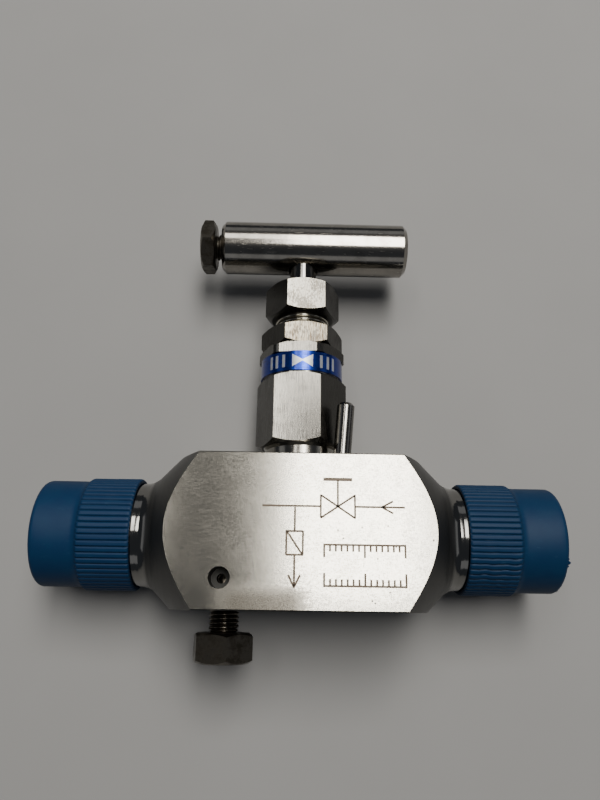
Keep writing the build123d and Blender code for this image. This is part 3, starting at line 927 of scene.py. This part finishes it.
@dataclass
class Marks:
    """A set of strokes laid on a surface as thin closed slips.

    Attributes:
        name: the piece's name.
        body: the moving body that it rides on.
        slot: the record's material slot; not used.
        finish: its finish.
        strokes: the marks.
        surface: gives the place of each flat point at a height over the surface.
        thickness: how far the slips stand proud.
        sunk: how far they reach in.
    """

    name: str
    body: str
    slot: str
    finish: Finish
    strokes: list[Stroke]
    surface: Callable[[Array, float], Array]
    thickness: float = 0.03
    sunk: float = 0.02

    def build(self, finishes: Finishes) -> bpy.types.Object:
        """Makes the marks' object.

        Each slip has four edges along its path, two on top and two sunk, and closed ends.

        Args:
            finishes: where its material comes from.

        Returns:
            The object, dressed and riding.
        """
        points, sides, start = [], [], 0
        for stroke in self.strokes:
            left, right = stroke.outline()
            count = len(left)
            edges = (
                self.surface(left, self.thickness),
                self.surface(right, self.thickness),
                self.surface(right, -self.sunk),
                self.surface(left, -self.sunk),
            )
            points.append(np.stack(edges, axis=1).reshape(-1, 3))
            last = 4 * count - 4
            ends = np.array([[1, 2, 3, 0], [last + 3, last + 2, last + 1, last]])
            sides += [wrap_faces(count, 4, False) + start, ends + start]
            start += 4 * count
        made = add_mesh(self.name, np.concatenate(points), [np.concatenate(sides)], 40.0)
        made.data.materials.append(finishes.get(self.finish))
        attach(made, self.body)
        log.info("made %s", made.name)
        return made


def on_front_face(flat: Array, lift: float) -> Array:
    """The bar's front face: x and y stay, and z is the face's height plus the lift."""
    height = np.full(len(flat), 2 * AXIS_Z + lift)
    return np.column_stack([flat[:, 0], flat[:, 1], height])


def on_band(flat: Array, lift: float, radius: float = 11.75) -> Array:
    """The label band, where a flat point (a, b) goes to turn a / radius and height b.

    Args:
        flat: the points on the unrolled band.
        lift: how far over its surface.
        radius: of that surface.

    Returns:
        The places in space.
    """
    turn = flat[:, 0] / radius
    reach = radius + lift
    return np.column_stack([reach * np.sin(turn), flat[:, 1], AXIS_Z + reach * np.cos(turn)])


# ---------------------------------------------------------------- sub-assemblies


def dress(nodes: dict, finishes: Finishes, plan: dict[str, Finish]) -> None:
    """Gives CAD nodes their finishes.

    Args:
        nodes: the frame's objects by name.
        finishes: where the materials come from.
        plan: the finish of each named node.
    """
    for name, finish in plan.items():
        node = nodes[name]
        for place in node.material_slots:
            place.material = finishes.get(finish)
        log.info("dressed %s with %s", name, finish.name)


@dataclass
class BarBody:
    """The bar body with its pipe threads and flow marking."""

    port_face: float = 66.7
    thread_length: float = 16.0
    pipe_pitch: float = 1.814
    plan: ClassVar[dict[str, Finish]] = {
        "valve_body": Finish.BAR,
        "seat_ring": Finish.SEAT,
        "seat_plug": Finish.SEAT,
        "bleed_ball": Finish.SEAT,
    }

    def pipe_thread(self, side: int) -> ScrewThread:
        """Sizes the tapered thread at one end.

        Args:
            side: 1 for the inlet and -1 for the outlet.

        Returns:
            The thread, not yet built.
        """
        return ScrewThread(
            name="inlet_pipe_thread" if side > 0 else "outlet_pipe_thread",
            body="valve",
            slot="turned_steel",
            finish=Finish.PIPE_THREAD,
            centre=(0.0, 0.0, AXIS_Z),
            axis=(float(side), 0.0, 0.0),
            start=self.port_face - self.thread_length - 1.6,
            end=self.port_face - 0.35,
            root=(12.1, 11.6),
            crest=(13.46, 12.96),
            pitch=self.pipe_pitch,
            inside=11.2,
            fade=(2.4, 1.6),
        )

    def flow_marking(self) -> Marks:
        """Draws a plain flow diagram and two plain rules beside it.

        Returns:
            The marks: a line with an arrowhead, a shut-off sign, a bleed branch, and the rules.
        """
        line, flow, branch = 0.5, 5.6, -1.5
        strokes = [
            Stroke([(25.5, flow), (13.4, flow)], line),
            Stroke([(4.6, flow), (-9.5, flow)], line),
            Stroke([(22.6, flow + 1.5), (19.8, flow), (22.6, flow - 1.5)], line),
            Stroke(
                [
                    (13.2, flow + 2.8),
                    (4.8, flow - 2.8),
                    (4.8, flow + 2.8),
                    (13.2, flow - 2.8),
                    (13.2, flow + 3.0),
                ],
                line,
            ),
            Stroke([(9.0, flow + 0.2), (9.0, flow + 6.4)], line),
            Stroke([(5.4, flow + 6.7), (12.6, flow + 6.7)], line * 1.7),
            Stroke([(branch, flow - 0.3), (branch, -0.4)], line),
            Stroke(
                [
                    (branch - 2, -0.5),
                    (branch + 2, -0.5),
                    (branch + 2, -6.1),
                    (branch - 2, -6.1),
                    (branch - 2, -0.3),
                ],
                line,
            ),
            Stroke([(branch - 1.8, -0.7), (branch + 1.8, -5.9)], line),
            Stroke([(branch, -6.3), (branch, -13.2)], line),
            Stroke([(branch - 1.4, -10.8), (branch, -13.6), (branch + 1.4, -10.8)], line),
            Stroke([(5.4, -3.6), (25.5, -3.6)], line),
            Stroke([(5.4, -13.2), (25.5, -13.2)], line),
        ]
        ticks = [(x, 1.4 * (k % 7 == 0)) for k, x in enumerate(np.linspace(5.65, 25.25, 15))]
        strokes += [Stroke([(x, -3.8), (x, -5.2 - longer)], line) for x, longer in ticks]
        strokes += [Stroke([(x, -13.0), (x, -11.6 + longer)], line) for x, longer in ticks]
        return Marks("flow_marking", "valve", "dark_steel", Finish.LASER, strokes, on_front_face)

    def build(self, nodes: dict, finishes: Finishes) -> None:
        """Dresses the bar and makes its threads and marks.

        Args:
            nodes: the frame's objects by name.
            finishes: where the materials come from.
        """
        dress(nodes, finishes, self.plan)
        for side in (1, -1):
            self.pipe_thread(side).build(finishes)
        self.flow_marking().build(finishes)


@dataclass
class Bonnet:
    """The bonnet with its label band, lock pin, packing, gland bolt and lock nut."""

    band_middle: float = 46.7
    nut_top: float = 59.5
    head_bottom: float = 63.1
    plan: ClassVar[dict[str, Finish]] = {
        "bonnet": Finish.BONNET,
        "bonnet_gasket": Finish.GASKET,
        "bonnet_lock_pin": Finish.PIN,
        "label_band": Finish.BAND,
        "packing_washer": Finish.BUSHING,
        "packing_ring_1": Finish.PACKING,
        "packing_ring_2": Finish.PACKING,
        "packing_ring_3": Finish.PACKING,
        "packing_bushing": Finish.BUSHING,
        "gland_bolt": Finish.GLAND,
        "lock_nut": Finish.NUT,
        "stem_wiper": Finish.RUBBER,
    }

    def gland_thread(self) -> ScrewThread:
        """Sizes the gland bolt's thread, where it shows above the lock nut.

        Returns:
            The thread, not yet built.
        """
        return ScrewThread(
            name="gland_bolt_thread",
            body="valve",
            slot="turned_steel",
            finish=Finish.GLAND_THREAD,
            centre=(0.0, 0.0, AXIS_Z),
            axis=(0.0, 1.0, 0.0),
            start=self.nut_top - 0.3,
            end=self.head_bottom + 0.05,
            root=(7.16, 7.16),
            crest=(7.90, 7.90),
            pitch=1.27,
            inside=6.6,
            fade=(0.05, 0.9),
            columns=160,
            rows_per_pitch=28,
        )

    def band_marks(self) -> Marks:
        """Draws the pale signs on the band.

        Returns:
            The marks: a shut-off sign between bars.
        """
        middle, tall = self.band_middle, 3.7
        sign = Stroke([(-2.9, middle), (0.0, middle), (2.9, middle)], [tall, 0.35, tall])
        bars = [
            Stroke([(place, middle - tall / 2), (place, middle + tall / 2)], 0.85)
            for place in (-9.6, -7.6, -5.4, 5.4, 7.6, 9.6)
        ]
        return Marks("band_signs", "valve", "blue_band", Finish.MARK, [sign, *bars], on_band, 0.02, 0.02)

    def build(self, nodes: dict, finishes: Finishes) -> None:
        """Dresses the bonnet's nodes and makes its thread and marks.

        Args:
            nodes: the frame's objects by name.
            finishes: where the materials come from.
        """
        dress(nodes, finishes, self.plan)
        self.gland_thread().build(finishes)
        self.band_marks().build(finishes)


@dataclass
class Handle:
    """The stem, the T bar and its bolt."""

    bar_height: float = 87.7
    bar_left: float = -24.8
    bolt_gap: float = 1.9
    plan: ClassVar[dict[str, Finish]] = {
        "valve_stem": Finish.ROD,
        "handle_bar": Finish.HANDLE,
        "handle_bolt": Finish.DARK,
    }

    def bolt_thread(self) -> ScrewThread:
        """Sizes the handle bolt's thread, in the gap between its head and the bar.

        Returns:
            The thread, not yet built.
        """
        return ScrewThread(
            name="handle_bolt_thread",
            body="stem",
            slot="dark_steel",
            finish=Finish.DARK,
            centre=(0.0, self.bar_height, AXIS_Z),
            axis=(-1.0, 0.0, 0.0),
            start=-self.bar_left - 0.3,
            end=-self.bar_left + self.bolt_gap + 0.05,
            root=(3.32, 3.32),
            crest=(3.93, 3.93),
            pitch=1.058,
            inside=2.9,
            fade=(0.05, 0.5),
            columns=96,
        )

    def build(self, nodes: dict, finishes: Finishes) -> None:
        """Dresses the handle's nodes and makes its thread."""
        dress(nodes, finishes, self.plan)
        self.bolt_thread().build(finishes)


@dataclass
class BleedValve:
    """The bleed screw with its thread."""

    place_x: float = -19.3
    bar_edge: float = 19.05
    head_top: float = 24.6
    travel: float = 2.12
    plan: ClassVar[dict[str, Finish]] = {"bleed_screw": Finish.DARK}

    def thread(self) -> ScrewThread:
        """Sizes the screw's thread, from its travel inside the bar to its head.

        Returns:
            The thread, not yet built.
        """
        return ScrewThread(
            name="bleed_screw_thread",
            body="bleed",
            slot="dark_steel",
            finish=Finish.BLEED_THREAD,
            centre=(self.place_x, 0.0, AXIS_Z),
            axis=(0.0, -1.0, 0.0),
            start=self.bar_edge - self.travel - 0.2,
            end=self.head_top + 0.05,
            root=(3.32, 3.32),
            crest=(3.93, 3.93),
            pitch=1.058,
            inside=2.9,
            fade=(0.05, 0.9),
            columns=112,
        )

    def build(self, nodes: dict, finishes: Finishes) -> None:
        """Dresses the bleed screw and makes its thread."""
        dress(nodes, finishes, self.plan)
        self.thread().build(finishes)


# Shreds of moulding flash on the inlet's cap, as turn in degrees and height.
INLET_FLASH = ((25.0, 0.2), (28.4, 0.6), (30.2, 0.45), (33.5, 0.3), (79.0, 0.35), (83.5, 0.5), (96.0, 0.25))


@dataclass
class EndCap:
    """One push-on cap: a closed cup with ribs round its grip, moulded slightly uneven.

    Attributes:
        side: 1 for the inlet's cap and -1 for the outlet's.
        waviness: how far the ribs stray in the badly moulded patch.
        seed: picks the unevenness.
        flash: shreds left round the end, as turn in degrees and height.
        flash_width: a shred's half width in degrees.
        patch: the badly moulded patch's turn and half width in degrees.
        rim, end: where the cap starts and ends along the axis.
        grip_length, grip_radius: the ribbed part, over its ribs.
        rib_height, ribs, groove_share: the ribs, and a groove's share of the pitch.
        shoulder, smooth_radius: the step down past the grip, and the part beyond it.
        edge: radius of the rounded end.
        inner_grip, inner_smooth: radii inside.
        end_wall: thickness of the end.
        dish_depth, middle_rise: how far the end's face is dished, and its middle raised again.
        columns_per_rib: faces round the axis to each rib.
    """

    side: int
    waviness: float
    seed: int
    flash: tuple[tuple[float, float], ...] = ()
    flash_width: float = 1.1
    patch: tuple[float, float] = (50.0, 40.0)
    rim: float = 42.6
    end: float = 67.95
    grip_length: float = 13.1
    grip_radius: float = 14.7
    rib_height: float = 0.36
    ribs: int = 60
    groove_share: float = 0.12
    shoulder: float = 1.6
    smooth_radius: float = 13.85
    edge: float = 1.35
    inner_grip: float = 13.53
    inner_smooth: float = 13.32
    end_wall: float = 1.1
    dish_depth: float = 0.3
    middle_rise: float = 0.22
    columns_per_rib: int = 10

    def flash_height(self, turn: Array) -> Array:
        """How far the shreds of moulding flash stand out.

        Each shred is its height times exp(-((turn - place) / width) ** 2).

        Args:
            turn: the turn round the cap.

        Returns:
            A height for each turn.
        """
        heights = np.zeros_like(turn)
        for place, height in self.flash:
            heights = heights + height * bell(turn, place, self.flash_width)
        return heights

    def outer(self, turn: Array) -> tuple[Array, Array]:
        """Works out the outer skin, row by row from the rim to the middle of the end.

        Over the grip the radius is the groove's radius plus the rib's height times one less a
        narrow bell at each groove. Past it the radius falls over the shoulder to the smooth part,
        and a quarter circle leads to the end face, which is dished by a little.

        Args:
            turn: the turn round the cap, as one row.

        Returns:
            The radius and the place along the axis.
        """
        grip_end = self.rim + self.grip_length
        along = np.concatenate(
            [
                self.rim + np.array([0.0, 0.06, 0.2, 0.45]),
                np.linspace(self.rim + 0.9, grip_end - 0.9, 16),
                grip_end + np.array([-0.5, -0.25, -0.05, 0.15, 0.45, 0.8, 1.2, 1.6, 2.1]),
                np.linspace(grip_end + 3.0, self.end - self.edge, 8),
            ]
        )[:, None]
        bad = bell(turn, *self.patch) * self.waviness
        wander = ripple(turn, along, self.seed, 8) * 0.004
        wander = wander + ripple(turn, along, self.seed + 2, 6, 2.4) * 0.015 * bad
        place = np.mod(self.ribs * (turn + wander) / (2 * pi), 1.0)
        away = np.minimum(place, 1 - place)
        rib = 1 - np.exp(-((away / self.groove_share) ** 2))
        past = smooth_step(along, grip_end - 0.35, grip_end + 0.35)
        start = smooth_step(along, self.rim - 0.1, self.rim + 0.45)
        groove = self.grip_radius - self.rib_height
        ribbed = groove + self.rib_height * rib * start * (1 - past)
        fall = smooth_step(along, grip_end - 0.2, grip_end + self.shoulder)
        radius = ribbed + (self.smooth_radius - groove) * fall
        radius = radius + ripple(turn, along, self.seed + 1) * 0.03
        bend = np.linspace(0, pi / 2, 9)[1:, None]
        parting_row = (np.arange(8) == 4)[:, None]  # the flash stands halfway round the edge
        reach = self.edge + self.flash_height(turn) * parting_row
        corner = self.smooth_radius - self.edge + reach * np.cos(bend)
        corner_at = self.end - self.edge + reach * np.sin(bend)
        face = np.array([0.93, 0.86, 0.8, 0.6, 0.4, 0.2, 0.12, 0.1, 0.03])[:, None]
        dish = self.dish_depth * smooth_step(face, 0.95, 0.8)
        dish = dish - self.middle_rise * smooth_step(face, 0.13, 0.10)
        flat = face * (self.smooth_radius - self.edge) + 0 * turn
        flat_at = self.end - dish + 0 * turn
        along = along + 0 * turn
        return np.concatenate([radius, corner, flat]), np.concatenate([along, corner_at, flat_at])

    def inner(self, turn: Array) -> tuple[Array, Array]:
        """Works out the inner skin, row by row from the middle of the end back to the rim.

        Args:
            turn: the turn round the cap, as one row.

        Returns:
            The radius and the place along the axis.
        """
        grip_end = self.rim + self.grip_length
        wall = self.end - self.end_wall
        rows = np.array([
            (0.05, wall),
            (self.inner_smooth * 0.5, wall),
            (self.inner_smooth - 0.8, wall),
            (self.inner_smooth - 0.2, wall - 0.2),
            (self.inner_smooth, wall - 0.8),
            (self.inner_smooth, grip_end + self.shoulder),
            (self.inner_grip, grip_end),
            (self.inner_grip, self.rim + 0.3),
            (self.inner_grip + 0.15, self.rim),
        ])
        return rows[:, :1] + 0 * turn, rows[:, 1:] + 0 * turn

    def build(self, finishes: Finishes) -> bpy.types.Object:
        """Makes the cap, which takes the place of its hidden CAD node, and dresses it.

        Args:
            finishes: where its material comes from.

        Returns:
            The object, riding on its protector's body.
        """
        label = "inlet" if self.side > 0 else "outlet"
        turn = np.linspace(0, 2 * pi, self.ribs * self.columns_per_rib, endpoint=False)[None, :]
        centre, axis = (0.0, 0.0, AXIS_Z), (float(self.side), 0.0, 0.0)
        inside, outside = self.inner(turn), self.outer(turn)
        radius, along = (np.concatenate(pair) for pair in zip(inside, outside))
        grid = round_axis(centre, axis, radius, along, turn)
        middles = (self.end - self.end_wall, self.end - 0.08)
        poles = tuple(np.array((self.side * place, 0.0, AXIS_Z)) for place in middles)
        made = closed_skin(f"{label}_cap_moulded", grid, poles, 55.0)
        finish = Finish.INLET_CAP if self.side > 0 else Finish.OUTLET_CAP
        made.data.materials.append(finishes.get(finish))
        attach(made, f"{label}_protector")
        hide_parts(f"{label}_cap")
        log.info("made %s", made.name)
        return made


# ---------------------------------------------------------------- studio


@dataclass
class Studio:
    """The floor, the light and the camera.

    Attributes:
        eye: the camera's place.
        ahead, up: its directions.
        lens: its focal length over a 36 mm frame.
        floor_size: the floor's width in metres.
        floor_light, floor_dark: its two close greys.
        warm, plain: the lamps' colours.
        panels: lamps that face straight down, as name, place and size in metres, and watts.
        fills: faint wide lamps at the sides of the room, as name, place in metres, and watts.
        fill_size: their size in metres.
        room, room_strength: the dim room's colour and light.
    """

    eye: tuple[float, float, float] = (-3.442, -17.501, 197.911)
    ahead: tuple[float, float, float] = (0.01646, 0.30012, -0.95376)
    up: tuple[float, float, float] = (-0.01972, 0.95380, 0.29980)
    lens: float = 29.28
    floor_size: float = 3.0
    floor_light: Colour = (0.226, 0.226, 0.226)
    floor_dark: Colour = (0.208, 0.208, 0.208)
    warm: Colour = (1.0, 0.965, 0.90)
    plain: Colour = (1.0, 1.0, 1.0)
    panels: ClassVar[tuple] = (
        ("main_panel", (0.12, 0.405, 1.05), (0.24, 0.86), 14.5),
        ("upper_left_panel", (-0.13, 0.61, 1.05), (0.26, 0.48), 2.0),
        ("left_panel", (-0.325, 0.36, 1.05), (0.10, 0.64), 1.8),
        ("right_panel", (0.31, 0.41, 1.05), (0.14, 0.85), 3.3),
    )
    fills: ClassVar[tuple] = (
        ("front_fill", (0.0, -1.5, 0.8), 1.1),
        ("back_fill", (0.0, 1.6, 0.8), 1.1),
        ("left_fill", (-1.6, 0.0, 0.8), 1.2),
        ("right_fill", (1.6, 0.0, 0.8), 1.2),
    )
    fill_size: tuple[float, float] = (1.8, 0.6)
    room: Colour = (0.80, 0.87, 1.0)
    room_strength: float = 0.075

    def floor(self) -> None:
        """A plain pale floor, level with the valve's back face."""
        half = self.floor_size / 2 / MM
        corners = np.array([(-half, -half, 0), (half, -half, 0), (half, half, 0), (-half, half, 0)], float)
        made = add_mesh("floor", corners, [np.array([[0, 1, 2, 3]])])
        paint = Paint("pale_floor", Specular_IOR_Level=0.25)
        spot, _x, _y, _z = paint.place()
        fine = paint.noise(spot, 0.02, 3.0)
        paint.feed("Base Color", paint.mix(self.floor_light, self.floor_dark, fine))
        paint.feed("Roughness", 0.75 + (fine - 0.5) * 0.1)
        made.data.materials.append(paint.material)

    def lamp(self, name: str, at: tuple, size: tuple, power: float, colour: Colour) -> bpy.types.Object:
        """Adds a rectangular lamp that faces straight down.

        Args:
            name: the lamp's name.
            at: its place in metres.
            size: its width along X and Y in metres.
            power: in watts.
            colour: of its light.

        Returns:
            The lamp's object.
        """
        data = bpy.data.lights.new(name, "AREA")
        data.shape = "RECTANGLE"
        data.size, data.size_y = size
        data.energy = power
        data.color = colour
        made = bpy.data.objects.new(name, data)
        made.location = at
        bpy.context.scene.collection.objects.link(made)
        return made

    def fill(self, name: str, at: tuple, power: float) -> None:
        """Adds a wide, faint lamp, turned to the valve and out of sight.

        Args:
            name: the lamp's name.
            at: its place in metres.
            power: in watts.
        """
        made = self.lamp(name, at, self.fill_size, power, self.plain)
        made.rotation_euler = (-Vector(at)).to_track_quat("-Z", "Y").to_euler()
        made.visible_camera = False

    def light(self) -> None:
        """A long panel overhead with weaker ones beside it, faint fills all round, and a dim room."""
        for name, at, size, power in self.panels:
            self.lamp(name, at, size, power, self.warm)
        for name, at, power in self.fills:
            self.fill(name, at, power)
        world = bpy.data.worlds.new("room")
        world.use_nodes = True
        background = world.node_tree.nodes["Background"]
        background.inputs[0].default_value = (*self.room, 1.0)
        background.inputs[1].default_value = self.room_strength
        bpy.context.scene.world = world

    def camera(self) -> None:
        """The camera, looking down at the valve from close above its foot."""
        data = bpy.data.cameras.new("camera")
        data.lens = self.lens
        data.sensor_width = 36.0
        data.sensor_fit = "AUTO"
        data.clip_start = 0.005
        made = bpy.data.objects.new("camera", data)
        ahead, up = Vector(self.ahead).normalized(), Vector(self.up).normalized()
        right = ahead.cross(up).normalized()
        up = right.cross(ahead)
        turn = Matrix((right, up, -ahead)).transposed()
        made.matrix_world = Matrix.Translation(Vector(self.eye) * MM) @ turn.to_4x4()
        bpy.context.scene.collection.objects.link(made)
        bpy.context.scene.camera = made

    def build(self) -> None:
        """Makes all three."""
        self.camera()
        self.floor()
        self.light()


def main() -> None:
    """Loads the frame, builds the studio, dresses each sub-assembly and makes the end caps."""
    logging.basicConfig(level=logging.INFO, format="%(name)s: %(message)s")
    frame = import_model()
    nodes = frame["nodes"]
    Studio().build()
    finishes = Finishes()
    for assembly in (BarBody(), Bonnet(), Handle(), BleedValve()):
        assembly.build(nodes, finishes)
    for cap in (EndCap(1, 1.0, 3, INLET_FLASH), EndCap(-1, 0.2, 8)):
        cap.build(finishes)
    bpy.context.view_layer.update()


if __name__ == "__main__":
    main()
